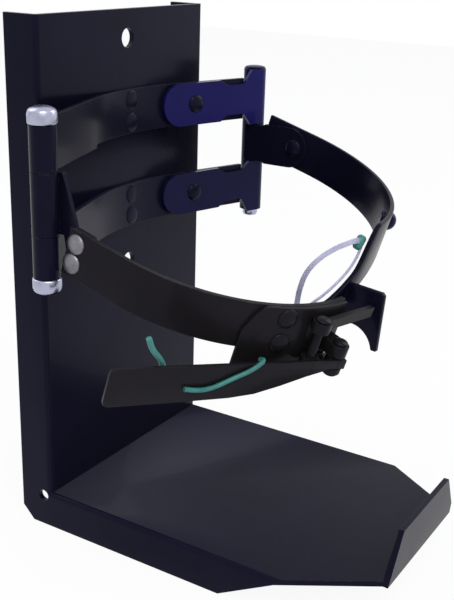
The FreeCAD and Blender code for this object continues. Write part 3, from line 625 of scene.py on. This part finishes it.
def ribbon(name, where, points, width, sheet):
    """A plastic strip along a smooth line through a frame's points, round if as thick as wide."""
    data = bpy.data.curves.new(name, "CURVE")
    data.dimensions = "3D"
    data.resolution_u = 10
    data.twist_mode = "MINIMUM"
    line = data.splines.new("BEZIER")
    line.bezier_points.add(len(points) - 1)
    for knot, point in zip(line.bezier_points, points):
        knot.co = where @ (Vector(point) * MM)
        knot.handle_left_type = knot.handle_right_type = "AUTO"
    data.extrude = (width - sheet) / 2 * MM
    data.bevel_depth = sheet / 2 * MM
    data.bevel_resolution = 3
    data.use_fill_caps = True
    curve = placed(name, data)
    mesh = shown_mesh(curve)
    bpy.data.objects.remove(curve)
    mesh.shade_smooth()
    return placed(name, mesh)


def aim_camera():
    """Stand the camera where the photograph was taken from, with the same roll and angle of view."""
    forward = Vector((math.sin(CAMERA_YAW) * math.cos(CAMERA_PITCH),
                      math.cos(CAMERA_YAW) * math.cos(CAMERA_PITCH),
                      -math.sin(CAMERA_PITCH)))
    level = Vector((math.cos(CAMERA_YAW), -math.sin(CAMERA_YAW), 0))
    upright = level.cross(forward)
    right = math.cos(CAMERA_ROLL) * level + math.sin(CAMERA_ROLL) * upright
    up = -math.sin(CAMERA_ROLL) * level + math.cos(CAMERA_ROLL) * upright
    data = bpy.data.cameras.new("camera")
    data.sensor_width = data.sensor_height = SENSOR
    data.sensor_fit = "VERTICAL"
    data.lens = CAMERA_FOCAL_PX * SENSOR / FRAME_HEIGHT_PX
    data.clip_start, data.clip_end = CAMERA_NEAR, CAMERA_FAR
    camera = placed("camera", data)
    facing = Matrix((right, up, -forward)).transposed().to_4x4()
    camera.matrix_world = Matrix.Translation(CAMERA_PLACE) @ facing
    bpy.context.scene.camera = camera


def lay_floor():
    """A pale floor under the part, near white where it is seen, that keeps a soft shadow."""
    half, low = FLOOR_SIZE / 2, CAD_BOX[0][2]
    floor = loose("floor", [(-half, -half, low), (half, -half, low), (half, half, low), (-half, half, low)],
                  [(0, 1, 2, 3)])
    s = Shader(bpy.data.materials.new("floor"))
    tone = s.mix(s.noise(300.0, 2.0) * 0.2, FLOOR_COLOUR, [0.97 * c for c in FLOOR_COLOUR])
    lit = s.node("BsdfPrincipled", {}, {"Base Color": tone, "Roughness": 0.7})
    white = s.node("Emission", {}, {"Color": WHITE, "Strength": 1.0})
    blend = s.node("MixShader", {}, {0: s.seen() * FLOOR_WHITE, 1: lit, 2: white})
    s.node("OutputMaterial", {}, {"Surface": blend})
    floor.data.materials.append(s.owner)


def light_studio():
    """A world that looks white and lights the part softly, and three large lamps."""
    world = bpy.context.scene.world = bpy.data.worlds.new("studio")
    s = Shader(world)
    dim = s.node("Background", {}, {"Color": (*WORLD_COLOUR, 1.0), "Strength": WORLD_STRENGTH})
    white = s.node("Background", {}, {"Color": WHITE})
    s.node("OutputWorld", {}, {"Surface": s.node("MixShader", {}, {0: s.seen(), 1: dim, 2: white})})
    for name, place, size, power in LAMPS:
        lamp = bpy.data.lights.new(name, "AREA")
        lamp.shape, lamp.size, lamp.energy = "SQUARE", size, power
        holder = placed(name, lamp)
        holder.location = place
        aim = Vector(LAMP_AIM) - Vector(place)
        holder.rotation_euler = aim.to_track_quat("-Z", "Y").to_euler()


def dress_nodes():
    """Give the CAD nodes their paint: worn on the left strap and the latch's link, black elsewhere."""
    for name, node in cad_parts.items():
        node.data.materials.clear()
        node.data.materials.append(worn if name in WORN_NODES else black)


def sheet_pieces():
    """The folded sheet, the rear hinge plates and the right half of the ring."""
    hand_in(reshaped("folded_sheet", "back_plate", stood_up), "bracket", "black_paint", black, "back_plate")
    # The upper plate's violet and the lower plate's blue are painted reflection, stronger on the upper
    # plate.
    for level, paint in (("upper", violet_reflection), ("lower", blue_reflection)):
        leaf = longer_leaf(level + "_hinge_leaf", level + "_hinge_plate", level + "_plate_rivet")
        hand_in(leaf, "bracket", "black_paint", paint, level + "_hinge_plate")
    band = smoothed(joined("band", band_sheet(), catch_tab()), BAND_EDGE)
    hand_in(band, "right_half", "black_paint", black, "right_band")


def rivets():
    """The rivets' smooth heads, on the bodies that they ride on."""
    rivet_heads("plate_rivets", ["upper_web_rivet_top", "upper_web_rivet_bottom", "lower_web_rivet_top",
                                 "lower_web_rivet_bottom", "upper_plate_rivet", "lower_plate_rivet"],
                "bracket", "black_paint", black)
    rivet_heads("band_rivet_heads", ["band_rivet"], "right_half", "black_paint", black)
    rivet_heads("strap_rivet_heads", ["strap_rivet_top", "strap_rivet_bottom"], "left_half",
                "bright_steel", dull)
    rivet_heads("base_rivet_heads", ["base_rivet_top", "base_rivet_bottom"], "left_half",
                "black_paint", worn)


def stud_and_hinge_pins():
    """The round stud on the band, the left pin with its end caps, and the right pin."""
    where = RIGHT_RING @ turn("Z", -BOLT_TURN) @ shift(RING_OUTSIDE) @ turn("Y", -90.0)
    stud = turned("round_stud", [*STUD_END, *domed(STUD_HEAD_RADIUS, 0.0, STUD_HEAD_RISE)], where)
    # The stud's blue is painted reflection.
    hand_in(stud, "right_half", "black_paint", blue_reflection, "band_bolt", "band_washer", "band_nut")
    low, top = LEFT_PIN_ENDS
    crown_radius, crown_seat = CAP_WALL[-1]
    crown = [(crown_radius * math.cos(a), crown_seat + CAP_CROWN_RISE * math.sin(a))
             for a in np.linspace(*CAP_CROWN_SPAN, 10)]
    for name, where in (("upper_pin_cap", LEFT_PIN @ shift(z=top)),
                        ("lower_pin_cap", LEFT_PIN @ shift(z=low) @ turn("X", 180.0))):
        cap = turned(name + "_turned", [*CAP_WALL, *crown, (0.0, CAP_HEIGHT)], where)
        hand_in(cap, "bracket", "bright_steel", steel, name)
    rod = turned("left_rod", [(0.0, low), (PIN_RADIUS, low), (PIN_RADIUS, top), (0.0, top)], LEFT_PIN)
    # The blue of the left rod and the right pin is painted reflection.
    hand_in(rod, "bracket", "bright_steel", blue_reflection, "left_hinge_pin")
    low, top = RIGHT_PIN_ENDS
    pin = turned("right_pin", [(0.0, low), (PIN_RADIUS, low), (PIN_RADIUS, top),
                               *domed(RIGHT_HEAD_RADIUS, top, RIGHT_HEAD_RISE)], RIGHT_PIN)
    hand_in(pin, "bracket", "bright_steel", blue_reflection, "right_hinge_pin")
    hand_in(turned("right_pin_end", RIGHT_PIN_TAIL, RIGHT_PIN), "bracket", "bright_steel", steel)


def latch():
    """The latch's base plate, its lever and the two pins with rounded heads."""
    hand_in(latch_base(), "left_half", "latch_black", worn, "latch_base")
    hand_in(latch_lever(), "lever", "latch_black", worn, "latch_lever")
    for name, body, where, (low, high) in (("pivot_pin", "left_half", PIVOT, PIVOT_PIN_ENDS),
                                           ("link_pin", "lever", LINK_PIN, LINK_PIN_ENDS)):
        foot = reversed(domed(LATCH_HEAD_RADIUS, low, -LATCH_HEAD_RISE))
        head = domed(LATCH_HEAD_RADIUS, high, LATCH_HEAD_RISE)
        profile = [*foot, (LATCH_PIN_RADIUS, low), (LATCH_PIN_RADIUS, high), *head]
        hand_in(turned(name + "_turned", profile, where, 32), body, "latch_black", worn, name)


def tie():
    """The moulded tie: a bead and a pale loop on the band's tail, and two teal strips on the lever."""
    bead = turned("tie_bead_moulded", BEAD_PROFILE,
                  RIGHT_RING @ shift(*around(*BEAD_AT)) @ turn("Y", BEAD_LEAN), 24)
    hand_in(bead, "right_half", "teal_tie", teal, "tie_bead")
    for name, strand, width in (("tie_loop_upper", UPPER_STRAND, UPPER_WIDTH),
                                ("tie_loop_lower", LOWER_STRAND, LOWER_WIDTH)):
        points = [around(*point) for point in strand]
        hand_in(ribbon(name, RIGHT_RING, points, width, STRAND_SHEET), "right_half", "teal_tie", pale)
    short = ribbon("tie_short", LEVER, SHORT_TIE, SHORT_TIE_DIA, SHORT_TIE_DIA)
    hand_in(short, "lever", "teal_tie", teal)
    long = ribbon("tie_long", LEVER, LONG_TIE, LONG_TIE_DIA, LONG_TIE_DIA)
    hand_in(long, "lever", "teal_tie", teal, "safety_tie")


black = gloss_paint("black_paint", PAINT_BLACK, 0.25, 0.35)
worn = gloss_paint("latch_black", PAINT_WORN, 0.30, 0.55)
blue_reflection = gloss_paint("blue_reflection_black", PAINT_BLUE_REFLECTION, 0.20, 0.25)
violet_reflection = gloss_paint("violet_reflection_black", PAINT_VIOLET_REFLECTION, 0.20, 0.25)
steel = plated_steel("bright_steel", STEEL_BRIGHT, STEEL_TARNISH, 0.22)
dull = plated_steel("dull_steel", STEEL_DULL, STEEL_DARK, 0.38)
teal = moulded_plastic("teal_tie", TEAL, TEAL_DEEP, 0.36, 0.0)
pale = moulded_plastic("pale_tie", PALE, PALE_DEEP, 0.30, 0.35)

aim_camera()
lay_floor()
light_studio()
dress_nodes()
sheet_pieces()
rivets()
stud_and_hinge_pins()
latch()
tie()

bpy.context.scene.view_settings.view_transform = "Standard"
